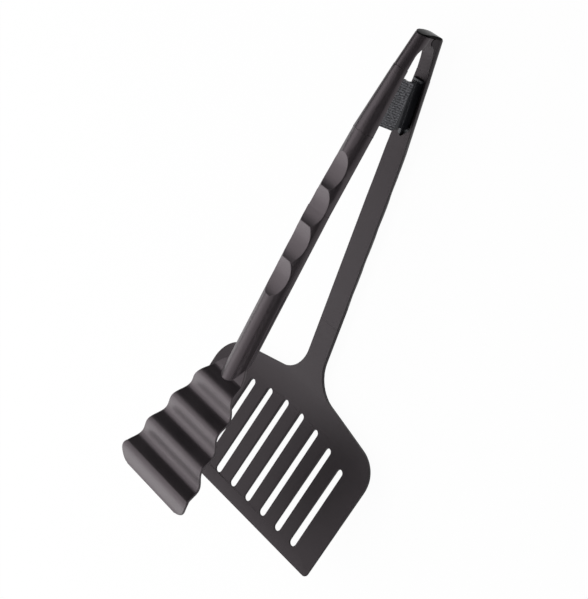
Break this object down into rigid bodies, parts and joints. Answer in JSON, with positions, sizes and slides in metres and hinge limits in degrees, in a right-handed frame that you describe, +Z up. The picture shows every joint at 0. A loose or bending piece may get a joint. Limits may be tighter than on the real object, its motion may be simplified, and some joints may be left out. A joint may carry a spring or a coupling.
{
  "type": "turner tongs",
  "caption": "Grill turner tongs: a wide slotted turner and a corrugated gripper plate on two arms that share a hinge at the head and are pushed open by a spring.",
  "frame": {"origin": "middle of the tool's length and width, at the height of the flat outer face of the turner arm that it rests on", "axes": "+X from the hinge at the head to the front edge of the blade, +Y across the blade, +Z up with the turner arm lying flat and the gripper arm above it"},
  "size_m": [0.2826, 0.132, 0.0945],
  "materials": {
    "nylon": "black moulded nylon with a fine satin grain",
    "cap": "smooth glossy black",
    "sleeve": "satin slate grey",
    "seat": "satin slate grey",
    "steel": "drawn wire and rod"
  },
  "bodies": {
    "turner": {"turner_arm": "nylon", "hinge_pin": "steel", "head_cap": "cap", "spring_seat": "seat", "return_spring": "steel"},
    "gripper": {"gripper_arm": "nylon", "spring_sleeve": "sleeve"}
  },
  "joints": [
    {"name": "jaw_hinge", "type": "hinge", "parent": "turner", "child": "gripper", "pos_m": [-0.13752, 0, 0.0109], "axis": [0, 1, 0], "range_deg": [0, 14.5], "stiffness_Nm_per_rad": 0.6, "springref_deg": -8.59, "deforming": ["return_spring"]}
  ]
}
